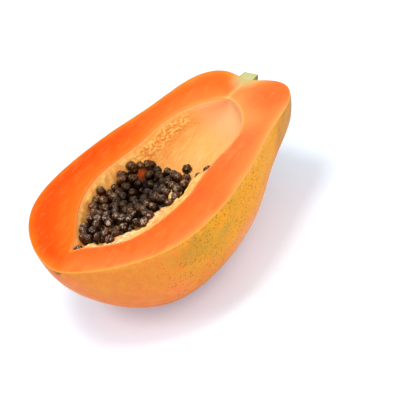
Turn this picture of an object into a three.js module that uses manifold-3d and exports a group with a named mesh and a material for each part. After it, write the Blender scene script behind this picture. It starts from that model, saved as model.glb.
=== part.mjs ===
// Half of a ripe papaya, cut lengthwise through its stem and lying on its back with the cut face up.
//
// Skin and flesh grew as one piece, so they are one solid: the outside is a pear-shaped body with five soft
// lobes, the knife takes its upper half away, and the seed hollow is sunk into the cut face. A stub of the
// fruit stalk, halved by the same cut, sits in a socket at the stem end. The seeds lie in a heap over the
// blossom end of the hollow, and a few loose ones sit in dimples of its lining.
//
// Units are millimetres. While the pieces are made, X runs from the blossom scar (X = 0) to the stalk, Y runs
// across the fruit, and the knife's plane is Z = 0. The finished group is then moved, so that its origin is
// under the middle of its box, on the surface that the fruit rests on.

import * as THREE from "three";
import { mergeVertices } from "three/addons/utils/BufferGeometryUtils.js";
import Module from "manifold-3d";

const wasm = await Module();
wasm.setup();

// --- Driving dimensions -------------------------------------------------------------------------------

// The outline of the cut face: distance from the blossom scar, half width. It ends in the dip at the stalk.
const OUTLINE = [
  [0, 0], [1.6, 8], [5, 17.5], [10, 28], [16, 37], [23, 45.5], [32, 53.5], [43, 60], [57, 63.6],
  [71, 64.2], [85, 63], [99, 60.6], [112, 57.6], [125, 53.4], [138, 49.2], [151, 46], [162, 43.2],
  [170, 39.8], [176, 35], [180, 28.5], [181.4, 21], [180.6, 13.5], [178.8, 6], [178, 0],
];
const CUT_FACE_HEIGHT = 63.8; // above the surface; what reaches lower is the flat spot that it rests on
const LOBES = 5;
const LOBE_AT_BLOSSOM = 0.007; // depth of the furrows between the lobes, as a share of the radius
const LOBE_AT_STEM = 0.024;
const BELLY = 0.06; // how much deeper than wide the underside is at its fullest
const BELLY_AT = 104;
const BELLY_SPREAD = 28;
const NECK = 0.21; // how much shallower than wide it is at the stem end
const NECK_FROM = 118; // where it starts to grow shallower, and where it has got there
const NECK_TO = 169;

// The seed hollow: station, far rim, near rim and depth. It starts as a slit and ends as a round bowl.
const HOLLOW = [
  [17.5, 3.9, 3.7, 0.6], [21.5, 6.6, -1, 5], [27.5, 10.2, -13.5, 13], [36, 17, -25, 22],
  [48, 26.6, -31.4, 29], [62, 33.4, -34.4, 33], [78, 36.2, -35.4, 34], [94, 33.6, -32.4, 33.4],
  [110, 30.6, -30.6, 31.5], [125, 29.6, -30.2, 28.5], [138, 25.8, -26.6, 24], [148, 19.4, -19.4, 18],
  [154.6, 12.2, -11, 12.5], [157.9, 6.4, -4.6, 7.5], [159.2, 1.6, 0.4, 2.5],
];
const PLACENTA_RISE = 0.035; // the five seed-bearing ridges inside, as a share of the hollow's radius
const SHELF_FROM = 30; // the pulp shelf under the near rim runs between these stations
const SHELF_TO = 112;
const SHELF_DEPTH_SHARE = 0.12; // how deep the shelf is, against a plain bowl
const SHELF_EDGE = 4; // from the rim to where the shelf starts to fall away, and to where it has gone
const SHELF_END = 16;
const HEADROOM = 14; // how far the cutting shape of the hollow reaches above the cut face

// The stalk: its stub, the collar where it meets the skin, and the root that tapers into the flesh.
const STALK = {
  radius: 5.7, tip: 183.6, side: 2,
  collar: 6.6, collarAt: 178.6,
  rootRadius: 1.2, rootFrom: 170.5,
};

const SEED = {
  length: 6.8, width: 5.9, smallest: 0.86, largest: 1.08, // the last two scale the first two
  pitch: 4.75, // least distance between the middles of two seeds of the heap
  random: 4711, throws: 12000,
};
const HEAP = {
  from: 21, to: 101, // along the fruit
  bulgeAt: 14, bulgeReach: 29, bulgeCut: 9, // the stem-side edge bulges there, and draws back beside it
  farInset: 4, nearInset: 9.5, // from the hollow's two rims to the middles of the outermost seeds
  // Bays, where the heap draws back from a rim by more: station, how much more, and half the bay's length.
  farBays: [[52, 5, 5], [79.5, 7, 4.5]],
  nearBays: [[41, 8, 7], [64.5, 7, 4], [91, 6, 6]],
  bare: [[91, 18, 4.6], [60, 18, 3.6], [47, -4, 3.4]], // where the pulp shows: place and radius
  edgeDepth: 3.2, middleDepth: 13.5, // how far below the cut face the middles of the top seeds lie
  middle: [82, 7], spread: [21, 15], // where the top is dished, and how far the dish reaches
  farDrop: 2.6, // extra depth against the far wall
  sideSlope: 3, sideReach: 8, // the heap's steep side towards the stem
  jitter: 0.9,
  coreUnder: 1.2, coreFoot: 40, // the pulp inside the heap: its top under the seeds' middles, and its foot
};
// Seeds by themselves: station, and place on the lining in degrees from the far rim round to the near rim.
const LOOSE_SEEDS = [[120, 63], [114.5, 70], [100, 138], [105, 161], [111.5, 165]];
const LOOSE_SEED_RISE = 1.7; // from the lining up to their middles
const GAP = 0.3; // kept between neighbouring pieces
const HEAP_GAP = 0.5; // between the heap and the walls of the hollow

const BODY_STATIONS = 44;
const BODY_AROUND = 64;
const HOLLOW_STATIONS = 36;
const HOLLOW_AROUND = 20;
const STALK_AROUND = 28;
const CORE_STATIONS = 16;
const CORE_ACROSS = 8;

const { degToRad, lerp, smoothstep } = THREE.MathUtils;

// --- Closed surfaces and solids -----------------------------------------------------------------------

// A closed surface over rings of points that advance along +X and turn from +Y towards +Z, with a pole at
// either end.
function skinOver(rings, firstPole, lastPole) {
  const around = rings[0].length;
  const points = [firstPole, ...rings.flat(), lastPole];
  const at = (ring, step) => 1 + ring * around + (step % around);
  const faces = [];
  for (let step = 0; step < around; step++) {
    faces.push(0, at(0, step + 1), at(0, step));
    faces.push(points.length - 1, at(rings.length - 1, step), at(rings.length - 1, step + 1));
    for (let ring = 0; ring < rings.length - 1; ring++) {
      faces.push(at(ring, step), at(ring, step + 1), at(ring + 1, step + 1));
      faces.push(at(ring, step), at(ring + 1, step + 1), at(ring + 1, step));
    }
  }
  return new THREE.BufferGeometry().setFromPoints(points).setIndex(faces);
}

function toSolid(geometry) {
  const bare = geometry.clone();
  bare.deleteAttribute("normal");
  bare.deleteAttribute("uv");
  const merged = mergeVertices(bare, 1e-4);
  return new wasm.Manifold(new wasm.Mesh({
    numProp: 3,
    vertProperties: Float32Array.from(merged.attributes.position.array),
    triVerts: Uint32Array.from(merged.index.array),
  }));
}

function toGeometry(solid) {
  const { vertProperties, triVerts } = solid.getMesh();
  const geometry = new THREE.BufferGeometry();
  geometry.setAttribute("position", new THREE.BufferAttribute(Float32Array.from(vertProperties), 3));
  geometry.setIndex(new THREE.BufferAttribute(Uint32Array.from(triVerts), 1));
  geometry.computeVertexNormals();
  return geometry;
}

// The largest body of a solid, without the scraps that a cut leaves.
function largest(solid) {
  return solid.decompose().reduce((a, b) => (a.volume() > b.volume() ? a : b));
}

function block(low, high) {
  const size = new THREE.Vector3().subVectors(high, low);
  const middle = new THREE.Vector3().addVectors(low, high).divideScalar(2);
  const box = new THREE.BoxGeometry(size.x, size.y, size.z);
  return toSolid(box.translate(middle.x, middle.y, middle.z));
}

// --- Outside of the fruit -----------------------------------------------------------------------------

function fruitBody() {
  const outline = new THREE.CatmullRomCurve3(
    OUTLINE.map(([x, radius]) => new THREE.Vector3(x, radius, 0)), false, "centripetal");
  const stemX = OUTLINE.at(-1)[0];
  const rings = outline.getSpacedPoints(BODY_STATIONS).slice(1, -1).map(({ x, y: radius }) => {
    const furrow = lerp(LOBE_AT_BLOSSOM, LOBE_AT_STEM, smoothstep(x, 0.4 * stemX, stemX));
    const belly = BELLY * Math.exp(-(((x - BELLY_AT) / BELLY_SPREAD) ** 2));
    const neck = NECK * smoothstep(x, NECK_FROM, NECK_TO);
    return Array.from({ length: BODY_AROUND }, (_, step) => {
      const turn = (2 * Math.PI * step) / BODY_AROUND;
      const lobed = radius * (1 - furrow * Math.cos(LOBES * (turn + Math.PI / 2)));
      const sag = Math.sin(turn) < 0 ? 1 + belly - neck : 1;
      return new THREE.Vector3(x, lobed * Math.cos(turn), lobed * Math.sin(turn) * sag);
    });
  });
  return toSolid(skinOver(rings, new THREE.Vector3(0, 0, 0), new THREE.Vector3(stemX, 0, 0)));
}

// --- Seed hollow --------------------------------------------------------------------------------------

const column = (n) => new THREE.CatmullRomCurve3(
  HOLLOW.map((row) => new THREE.Vector3(row[0], row[n], 0)), false, "catmullrom");
const [farRim, nearRim, keel] = [1, 2, 3].map(column);

// Position along the fruit, both rims and depth, at a share of the way along the hollow.
function hollowAt(share) {
  const far = farRim.getPoint(share);
  return { x: far.x, far: far.y, near: nearRim.getPoint(share).y, depth: keel.getPoint(share).y };
}

const HOLLOW_TABLE = Array.from({ length: 401 }, (_, i) => hollowAt(i / 400));

function hollowAtX(x) {
  const i = Math.max(1, HOLLOW_TABLE.findIndex((row) => row.x >= x));
  const [a, b] = [HOLLOW_TABLE[i - 1], HOLLOW_TABLE[i]];
  const share = (x - a.x) / (b.x - a.x);
  const between = (key) => lerp(a[key], b[key], share);
  return { x, far: between("far"), near: between("near"), depth: between("depth") };
}

// Share of a plain bowl's depth that is left over the pulp shelf, at a distance from the near rim.
function shelfShare(x, fromNearRim) {
  const there = smoothstep(x, SHELF_FROM, SHELF_FROM + 12) * (1 - smoothstep(x, SHELF_TO - 14, SHELF_TO));
  const share = lerp(SHELF_DEPTH_SHARE, 1, smoothstep(fromNearRim, SHELF_EDGE, SHELF_END));
  return 1 - there * (1 - share);
}

// One point of the lining: turn is 0 at the far rim, a quarter turn at the keel, half a turn at the near rim.
function liningPoint({ x, far, near, depth }, turn, inset) {
  const half = Math.max((far - near) / 2 - inset, 0.2);
  const ridge = 1 - PLACENTA_RISE * Math.cos(LOBES * (turn - Math.PI / 2));
  const shelf = shelfShare(x, half * (1 + Math.cos(turn)));
  const sunk = Math.max(depth - inset, 0.2) * Math.sin(turn) * ridge * shelf;
  return new THREE.Vector3(x, (far + near) / 2 + half * Math.cos(turn) * ridge, -sunk);
}

// The hollow as a solid, open upwards past the cut face, and shrunk by the inset.
function hollowSolid(inset) {
  const rings = Array.from({ length: HOLLOW_STATIONS + 1 }, (_, i) => {
    const station = hollowAt(i / HOLLOW_STATIONS);
    const lining = Array.from({ length: HOLLOW_AROUND + 1 }, (_, step) =>
      liningPoint(station, Math.PI * (1 - step / HOLLOW_AROUND), inset));
    const [near, far] = [lining[0], lining.pop()];
    const top = [far, near].map(({ x, y }) => new THREE.Vector3(x, y, HEADROOM));
    return [far, ...top, ...lining];
  });
  const pole = (ring) => ring[0].clone().lerp(ring[2], 0.5);
  return toSolid(skinOver(rings, pole(rings[0]), pole(rings.at(-1))));
}

// Height of the lining under a point of the cut face.
function liningHeight(x, y) {
  const { far, near, depth } = hollowAtX(x);
  const across = (2 * y - far - near) / (far - near);
  return -depth * Math.sqrt(Math.max(0, 1 - across * across)) * shelfShare(x, y - near);
}

// --- Stalk --------------------------------------------------------------------------------------------

function stalkSolid(grow) {
  const { radius, collar, collarAt, rootFrom, rootRadius, tip, side } = STALK;
  const profile = [
    [0, rootFrom - grow], [rootRadius + grow, rootFrom - grow], [collar + grow, collarAt],
    [radius + grow, collarAt + 2], [radius + grow, tip - 0.6], [radius + grow - 0.6, tip], [0, tip],
  ].map(([r, along]) => new THREE.Vector2(r, along));
  const turned = new THREE.LatheGeometry(profile, STALK_AROUND).rotateZ(-Math.PI / 2);
  return toSolid(turned.translate(0, side, 0));
}

// --- Seeds --------------------------------------------------------------------------------------------

// The Park-Miller generator: the same seeds each time, and easy to repeat elsewhere.
function randomNumbers(seed) {
  let state = seed;
  return () => {
    state = (state * 16807) % 2147483647;
    return state / 2147483647;
  };
}

function heapEdge(y) {
  return HEAP.to - ((y - HEAP.bulgeAt) / HEAP.bulgeReach) ** 2 * HEAP.bulgeCut;
}

function baysAt(x, bays) {
  return bays.reduce((sum, [at, more, reach]) => sum + more * Math.exp(-(((x - at) / reach) ** 2)), 0);
}

// The band between the rims that the middles of the seeds keep to.
function heapBand(x) {
  const { far, near } = hollowAtX(x);
  const width = far - near;
  const nearInset = HEAP.nearInset + baysAt(x, HEAP.nearBays);
  const farInset = HEAP.farInset + baysAt(x, HEAP.farBays);
  return [near + Math.min(nearInset, 0.55 * width), far - Math.min(farInset, 0.35 * width)];
}

function heapHeight(x, y) {
  const [mx, my] = HEAP.middle;
  const [sx, sy] = HEAP.spread;
  const dip = Math.exp(-(((x - mx) / sx) ** 2) - ((y - my) / sy) ** 2);
  const top = -lerp(HEAP.edgeDepth, HEAP.middleDepth, dip) - HEAP.farDrop * smoothstep(y, 12, 30);
  return top - HEAP.sideSlope * Math.max(0, x - heapEdge(y));
}

// Middles of the seeds on the heap: thrown at random, and kept where they are a pitch from all others.
function seedPlaces() {
  const random = randomNumbers(SEED.random);
  const reach = Math.max(...HOLLOW.map(([, far]) => far));
  const places = [];
  for (let i = 0; i < SEED.throws; i++) {
    const x = lerp(HEAP.from, HEAP.to + HEAP.sideReach, random());
    const y = lerp(-reach, reach, random());
    const [low, high] = heapBand(x);
    if (y < low || y > high || x > heapEdge(y) + HEAP.sideReach) continue;
    if (HEAP.bare.some(([bx, by, radius]) => Math.hypot(x - bx, y - by) < radius)) continue;
    const z = Math.max(heapHeight(x, y), liningHeight(x, y) + SEED.width / 2);
    const place = new THREE.Vector3(x, y, z);
    if (places.some((other) => other.distanceTo(place) < SEED.pitch)) continue;
    places.push(place);
  }
  return places.map((place) => ({
    place: place.clone().setZ(place.z + HEAP.jitter * (random() - 0.5)),
    size: lerp(SEED.smallest, SEED.largest, random()),
    turn: new THREE.Euler(Math.PI * random(), Math.PI * random(), Math.PI * random()),
  }));
}

const seedShape = new THREE.OctahedronGeometry(1, 1);

function seedSolid({ place, size, turn }, grow = 0) {
  const [long, wide] = [SEED.length, SEED.width].map((d) => (d * size) / 2 + grow);
  const shape = seedShape.clone().scale(long, wide, wide);
  const turned = shape.applyMatrix4(new THREE.Matrix4().makeRotationFromEuler(turn));
  return toSolid(turned.translate(place.x, place.y, place.z));
}

// The pulp that the seeds of the heap stick to, from under their middles down past the lining.
function heapCore() {
  const rings = Array.from({ length: CORE_STATIONS + 1 }, (_, i) => {
    const share = i / CORE_STATIONS;
    const [low, high] = heapBand(lerp(HEAP.from, HEAP.to, share));
    const top = Array.from({ length: CORE_ACROSS + 1 }, (_, j) => {
      const y = lerp(high, low, j / CORE_ACROSS);
      const x = lerp(HEAP.from, heapEdge(y), share);
      return new THREE.Vector3(x, y, heapHeight(x, y) - HEAP.coreUnder);
    });
    const foot = [top.at(-1), top[0]].map(({ x, y, z }) => {
      const splay = (share * (z + HEAP.coreFoot)) / HEAP.sideSlope;
      return new THREE.Vector3(x + splay, y, -HEAP.coreFoot);
    });
    return [...top, ...foot];
  });
  const pole = (ring) => ring[0].clone().lerp(ring[CORE_ACROSS + 1], 0.5);
  return toSolid(skinOver(rings, pole(rings[0]), pole(rings.at(-1))));
}

// --- The pieces ---------------------------------------------------------------------------------------

const looseSeeds = LOOSE_SEEDS.map(([x, degrees], i) => ({
  place: liningPoint(hollowAtX(x), degToRad(degrees), LOOSE_SEED_RISE),
  size: 1,
  turn: new THREE.Euler(0.4 * i, 0.7 * i, 1.1 * i),
}));

const bigX = 2 * OUTLINE.at(-1)[0];
const belowKnife = block(new THREE.Vector3(-bigX, -bigX, -CUT_FACE_HEIGHT), new THREE.Vector3(bigX, bigX, 0));

const fruit = largest(
  looseSeeds.reduce(
    (body, seed) => body.subtract(seedSolid(seed, GAP)),
    fruitBody().subtract(hollowSolid(0)).subtract(stalkSolid(GAP)),
  ).intersect(belowKnife),
);
const stalk = stalkSolid(0).intersect(belowKnife);
const heapRoom = hollowSolid(HEAP_GAP).translate([0, 0, GAP]);
const heap = largest(
  wasm.Manifold.union([heapCore(), ...seedPlaces().map((seed) => seedSolid(seed))]).intersect(heapRoom),
);

const flesh = new THREE.MeshStandardMaterial({ color: 0xf7823a, roughness: 0.45, metalness: 0 });
const stalkGreen = new THREE.MeshStandardMaterial({ color: 0xb9bf7c, roughness: 0.7, metalness: 0 });
const seedBlack = new THREE.MeshStandardMaterial({ color: 0x231a14, roughness: 0.25, metalness: 0 });

function piece(name, solid, material) {
  const mesh = new THREE.Mesh(toGeometry(solid), material);
  mesh.name = name;
  return mesh;
}

const papaya = new THREE.Group();
papaya.name = "papaya_half";
papaya.add(piece("fruit", fruit, flesh));
papaya.add(piece("stalk", stalk, stalkGreen));
papaya.add(piece("seed_heap", heap, seedBlack));
looseSeeds.forEach((seed, i) => {
  papaya.add(piece(`loose_seed_${i + 1}`, seedSolid(seed), seedBlack));
});
papaya.position.set(-STALK.tip / 2, 0, CUT_FACE_HEIGHT);

export default papaya;
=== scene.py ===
# Half of a ripe papaya on a pale table: skin and flesh in one piece, a stub of the stalk, a heap of wet
# seeds in its bed of frayed pulp, and five seeds by themselves.
#
# Sizes are millimetres, with X = 0 at the blossom scar, Y across the fruit, and Z = 0 on the knife's plane.
# Each piece is moved into the frame of the CAD model, in metres, as its mesh is made.

import math

import bmesh
import bpy
import numpy as np
from mathutils import Matrix, Vector


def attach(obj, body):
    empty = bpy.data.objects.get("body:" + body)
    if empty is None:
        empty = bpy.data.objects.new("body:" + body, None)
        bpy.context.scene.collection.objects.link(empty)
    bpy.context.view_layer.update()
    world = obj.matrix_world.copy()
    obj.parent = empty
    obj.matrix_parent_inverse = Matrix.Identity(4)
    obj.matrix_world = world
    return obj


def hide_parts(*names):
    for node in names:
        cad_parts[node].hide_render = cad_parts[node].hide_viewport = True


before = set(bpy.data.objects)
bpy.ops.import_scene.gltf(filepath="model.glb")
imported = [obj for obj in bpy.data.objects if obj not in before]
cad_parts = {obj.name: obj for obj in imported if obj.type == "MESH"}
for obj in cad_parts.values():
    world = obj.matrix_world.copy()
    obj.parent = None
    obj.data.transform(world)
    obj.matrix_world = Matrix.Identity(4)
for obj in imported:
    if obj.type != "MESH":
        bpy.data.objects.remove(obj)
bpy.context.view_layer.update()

# --- Skin and flesh -----------------------------------------------------------------------------------
# A papaya grows as one body: a thin waxy skin, about 25 mm of wet flesh, and a soft fibrous lining round
# the seed hollow. The knife went lengthwise through the stalk and left a flat, faintly grained face.

CUT_HEIGHT = 63.8  # of the knife's plane above the surface that the half rests on
TO_FRAME = (-91.8, 0.0, CUT_HEIGHT)  # from the blossom scar's frame to the middle of the underside
OUTLINE = [  # of the cut face: station, half width
    (0, 0), (1.6, 8), (5, 17.5), (10, 28), (16, 37), (23, 45.5), (32, 53.5), (43, 60), (57, 63.6),
    (71, 64.2), (85, 63), (99, 60.6), (112, 57.6), (125, 53.4), (138, 49.2), (151, 46), (162, 43.2),
    (170, 39.8), (176, 35), (180, 28.5), (181.4, 21), (180.6, 13.5), (178.8, 6), (178, 0),
]
HOLLOW = [  # station, far rim, near rim, depth
    (17.3, 3.8, 3.8, 0), (17.5, 3.9, 3.7, 0.6), (21.5, 6.6, -1, 5), (27.5, 10.2, -13.5, 13),
    (36, 17, -25, 22), (48, 26.6, -31.4, 29), (62, 33.4, -34.4, 33), (78, 36.2, -35.4, 34),
    (94, 33.6, -32.4, 33.4), (110, 30.6, -30.6, 31.5), (125, 29.6, -30.2, 28.5), (138, 25.8, -26.6, 24),
    (148, 19.4, -19.4, 18), (154.6, 12.2, -11, 12.5), (157.9, 6.4, -4.6, 7.5), (159.2, 1.6, 0.4, 2.5),
    (159.6, 1.0, 1.0, 0),
]
LOBES = 5
LOBE_AT_BLOSSOM, LOBE_AT_STEM = 0.007, 0.024  # depth of the furrows, as a share of the radius
LOBES_FROM, LOBES_TO = 71.2, 178
BELLY, BELLY_AT, BELLY_SPREAD = 0.06, 104, 28
NECK, NECK_FROM, NECK_TO = 0.21, 118, 169
PLACENTA_RISE = 0.035  # of the five seed-bearing ridges, as a share of the hollow's radius
SHELF_FROM, SHELF_TO, SHELF_RISES, SHELF_FADES = 30, 112, 12, 14
SHELF_DEPTH_SHARE, SHELF_EDGE, SHELF_END = 0.12, 4, 16
RIM_ROUNDING, SKIN_ROUNDING = 0.8, 0.35
WIDEST = 64.23
STATIONS, CURVE_STEPS = 290, 40
SKIN_AROUND, CUT_ACROSS, LINING_AROUND = 96, 34, 140
RIM_PLACES, SIDE_PLACES, SLICES = 1200, 2000, 40
CLOUD_CELLS = 97
WELD = 0.00001  # metres; corners this close become one


def smooth_line(knots, power):
    """Points of the Catmull-Rom curve through the knots; power 0.5 is centripetal, 0 is uniform."""
    knots = np.array(knots, float)
    line = np.vstack([2 * knots[0] - knots[1], knots, 2 * knots[-1] - knots[-2]])
    gaps = np.linalg.norm(np.diff(line, axis=0), axis=1) ** power
    t = np.linspace(0, 1, CURVE_STEPS, endpoint=False)[:, None]
    spans = []
    for i in range(1, len(line) - 2):
        before, here, after, beyond = line[i - 1:i + 3]
        g0, g1, g2 = gaps[i - 1:i + 2]
        leave = (here - before) / g0 - (after - before) / (g0 + g1) + (after - here) / g1
        arrive = (after - here) / g1 - (beyond - here) / (g1 + g2) + (beyond - after) / g2
        spans.append(
            (2 * t**3 - 3 * t**2 + 1) * here + (t**3 - 2 * t**2 + t) * leave * g1
            + (3 * t**2 - 2 * t**3) * after + (t**3 - t**2) * arrive * g1
        )
    return np.vstack(spans + [knots[-1:]])


def evenly_spaced(line, count, measured=None):
    """The line at count + 1 places, evenly spaced along it, or along what is measured instead."""
    steps = np.linalg.norm(np.diff(line if measured is None else measured, axis=0), axis=1)
    run = np.concatenate([[0], np.cumsum(steps)])
    places = np.linspace(0, run[-1], count + 1)
    return np.stack([np.interp(places, run, column) for column in line.T], axis=1)


def smoothstep(value, low, high):
    share = np.clip((value - low) / (high - low), 0, 1)
    return share * share * (3 - 2 * share)


def band(value, start, full, fall, end):
    """1 from full to fall, with a soft change from 0 at start and back to 0 at end."""
    return smoothstep(value, start, full) * (1 - smoothstep(value, fall, end))


def cloud(across, along, seed):
    """Soft noise from 0 to 1, with patches about one unit wide."""
    across, along = np.broadcast_arrays(across, along)
    grid = np.random.default_rng(seed).random((CLOUD_CELLS, CLOUD_CELLS))
    i, j = np.floor(across).astype(int), np.floor(along).astype(int)
    s, t = smoothstep(across - i, 0, 1), smoothstep(along - j, 0, 1)
    i0, i1, j0, j1 = (corner % CLOUD_CELLS for corner in (i, i + 1, j, j + 1))
    first = grid[i0, j0] * (1 - s) + grid[i1, j0] * s
    second = grid[i0, j1] * (1 - s) + grid[i1, j1] * s
    return first * (1 - t) + second * t


def shelf_share(x, from_near_rim):
    """Share of a plain bowl's depth that is left over the shelf of pulp along the near rim."""
    there = band(x, SHELF_FROM, SHELF_FROM + SHELF_RISES, SHELF_TO - SHELF_FADES, SHELF_TO)
    share = SHELF_DEPTH_SHARE + (1 - SHELF_DEPTH_SHARE) * smoothstep(from_near_rim, SHELF_EDGE, SHELF_END)
    return 1 - there * (1 - share)


def points_at(x, y, z):
    return np.stack(np.broadcast_arrays(x, y, z), axis=-1)


def in_frame(points):
    """Millimetres from the blossom scar, as metres in the frame of the CAD model."""
    moved = np.asarray(points, float) + TO_FRAME
    return moved.reshape(-1, 3) / 1000


def sheets_to_mesh(name, sheets):
    """One welded mesh of several sheets, each a grid of points, a material's index and its attributes."""
    names = sorted({key for _, _, values in sheets for key in values})
    corners, faces, slots, columns = [], [], [], {key: [] for key in names}
    start = 0
    for points, material, values in sheets:
        rows, across = points.shape[:2]
        number = start + np.arange(rows * across).reshape(rows, across)
        quads = np.stack([number[:-1, :-1], number[1:, :-1], number[1:, 1:], number[:-1, 1:]], axis=-1)
        corners.append(in_frame(points))
        faces.extend(quads.reshape(-1, 4).tolist())
        slots.extend([material] * ((rows - 1) * (across - 1)))
        for key in names:
            columns[key].append(np.broadcast_to(values.get(key, 0.0), (rows, across)).ravel())
        start += rows * across
    mesh = bpy.data.meshes.new(name)
    mesh.from_pydata(np.vstack(corners).tolist(), [], faces)
    mesh.polygons.foreach_set("material_index", slots)
    mesh.polygons.foreach_set("use_smooth", [True] * len(faces))
    for key in names:
        layer = mesh.attributes.new(key, "FLOAT", "POINT")
        layer.data.foreach_set("value", np.concatenate(columns[key]).astype(np.float32))
    body = bmesh.new()
    body.from_mesh(mesh)
    bmesh.ops.remove_doubles(body, verts=body.verts, dist=WELD)
    bmesh.ops.dissolve_degenerate(body, dist=WELD / 10, edges=body.edges)
    bmesh.ops.recalc_face_normals(body, faces=body.faces)
    body.to_mesh(mesh)
    body.free()
    return mesh


def new_object(name, data):
    thing = bpy.data.objects.new(name, data)
    bpy.context.scene.collection.objects.link(thing)
    return thing


def add_piece(mesh, name, node, slot, *finishes):
    """One finished piece, which rides on the part's one body and stands for a node of the CAD model."""
    piece = new_object(name, mesh)
    for finish in finishes:
        mesh.materials.append(finish)
    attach(piece, "root")
    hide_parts(node)


# The outside: rings of five soft lobes, from the knife's plane round under the fruit and up again.
outline = evenly_spaced(smooth_line(OUTLINE, 0.5), STATIONS)
outline[:, 1] = np.minimum(outline[:, 1], WIDEST)
x, radius = outline[:, :1], outline[:, 1:]
turn = -math.pi * np.linspace(0, 1, SKIN_AROUND + 1)[None]
furrow = LOBE_AT_BLOSSOM + (LOBE_AT_STEM - LOBE_AT_BLOSSOM) * smoothstep(x, LOBES_FROM, LOBES_TO)
lobed = radius * (1 - furrow * np.cos(LOBES * (turn + math.pi / 2)))
sag = 1 + BELLY * np.exp(-(((x - BELLY_AT) / BELLY_SPREAD) ** 2))
sag -= NECK * smoothstep(x, NECK_FROM, NECK_TO)
under = lobed * np.sin(turn) * sag
under = np.maximum(-np.hypot(under, SKIN_ROUNDING), -CUT_HEIGHT)
skin_points = points_at(x, lobed * np.cos(turn), under)
skin_values = {"round": np.degrees(-turn) + 0 * x, "along": x + 0 * turn, "below": -under}

# The lining goes from the far rim over the floor to the near rim, with the seed-bearing ridges and a shelf
# of pulp under the near rim. On it lie frills down the far wall, crumbs along the far rim and clots under
# the near one. "Round" is degrees from the far rim, "along" is stations, and a size is along and down.
WALL_PER_DEGREE, WALL_WANDERS = 0.55, 1.5
FRILLS_ROUND, FRILLS_ALONG, FRILL_SIZE, FRILL_RELIEF = (1, 7, 34, 60), (26, 40, 98, 108), (1.8, 3.4), 0.5
CRUMBS_ROUND, CRUMBS_ALONG, CRUMB_SIZE, CRUMB_RELIEF = (4, 8, 18, 30), (94, 104, 136, 148), (1.15, 1.1), 0.6
CLOTS_ROUND, CLOTS_FADE, CLOT_SIZE, CLOT_RELIEF = (90, 130), (92, 104), (3.2, 3.2), 0.7
RELIEF_STARTS, RELIEF_FULL = 0.5, 4  # below the knife's plane
hollow_line = smooth_line(HOLLOW, 0)
half_widths = np.stack([hollow_line[:, 0], (hollow_line[:, 1] - hollow_line[:, 2]) / 2], axis=1)
hollow = evenly_spaced(hollow_line, STATIONS, half_widths)
hx, far, near, depth = (hollow[:, i:i + 1] for i in range(4))
turn = math.pi * np.linspace(0, 1, LINING_AROUND + 1)[None]
half = (far - near) / 2
ridge = 1 - PLACENTA_RISE * np.cos(LOBES * (turn - math.pi / 2))
shelf = shelf_share(hx, half * (1 + np.cos(turn)))
lining_y = (far + near) / 2 + half * np.cos(turn) * ridge
lining_z = -depth * np.sin(turn) * ridge * shelf
arc = np.degrees(turn) + 0 * hx
down_wall = arc * WALL_PER_DEGREE + WALL_WANDERS * cloud(hx / 6, arc / 9, 1)
wander = 0.8 * cloud(hx / 5, down_wall / 5, 2)
frills = smoothstep(cloud(hx / FRILL_SIZE[0] + wander, down_wall / FRILL_SIZE[1], 3), 0.2, 0.85)
frills = frills * band(arc, *FRILLS_ROUND) * band(hx, *FRILLS_ALONG)
crumbs = smoothstep(cloud(hx / CRUMB_SIZE[0], down_wall / CRUMB_SIZE[1], 4), 0.3, 0.8)
crumbs = crumbs * band(arc, *CRUMBS_ROUND) * band(hx, *CRUMBS_ALONG)
clots = smoothstep(cloud(hx / CLOT_SIZE[0], down_wall / CLOT_SIZE[1], 5), 0.35, 0.8)
clots = clots * smoothstep(arc, *CLOTS_ROUND) * (1 - smoothstep(hx, *CLOTS_FADE))
lump = np.clip(frills + crumbs + clots, 0, 1)
soft = 0.5 * cloud(hx / 9, down_wall / 9, 6) + 0.2 * cloud(hx / 3, down_wall / 3, 7)
relief = FRILL_RELIEF * frills + CRUMB_RELIEF * crumbs + CLOT_RELIEF * clots + soft
relief *= smoothstep(depth * np.sin(turn), RELIEF_STARTS, RELIEF_FULL)
lining_y -= np.cos(turn) * relief
lining_z = -np.hypot(lining_z + np.sin(turn) * relief, RIM_ROUNDING)
lining_points = points_at(hx, lining_y, lining_z)
lining_values = {"round": arc, "along": hx + 0 * arc, "below": -lining_z, "lump": lump}


def nearest(plan, line):
    """Distance in the knife's plane from each place to the nearest point of a line."""
    parts = np.array_split(plan.reshape(-1, 2), SLICES)
    away = [np.sqrt(((part[:, None] - line[None]) ** 2).sum(-1)).min(1) for part in parts]
    return np.concatenate(away).reshape(plan.shape[:-1])


def lip(distance, rounding):
    """How far a rounded edge has dropped, at a distance from its foot."""
    inside = rounding - np.minimum(distance, rounding)
    return rounding - np.sqrt(rounding**2 - inside**2)


# The knife's face: one sheet on each side of the hollow, from its rim out to the skin.
share = (0.5 - 0.5 * np.cos(math.pi * np.linspace(0, 1, CUT_ACROSS + 1)))[None, :, None]
both_rims = np.vstack([hollow[:, [0, 1]], hollow[::-1][:, [0, 2]]])
both_sides = np.vstack([outline, outline[::-1] * (1, -1)])
dense_rim, dense_side = evenly_spaced(both_rims, RIM_PLACES), evenly_spaced(both_sides, SIDE_PLACES)
cut_sheets = []
for rim, side in ((hollow[:, [0, 1]], outline), (hollow[:, [0, 2]], outline * (1, -1))):
    plan = rim[:, None] * (1 - share) + side[:, None] * share
    from_rim, from_skin = nearest(plan, dense_rim), nearest(plan, dense_side)
    from_rim[:, 0], from_skin[:, -1] = 0, 0
    drop = lip(from_rim, RIM_ROUNDING) + lip(from_skin, SKIN_ROUNDING)
    points = points_at(plan[..., 0], plan[..., 1], -drop)
    cut_sheets.append((points, 1, {"from_rim": from_rim, "from_skin": from_skin}))


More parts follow.
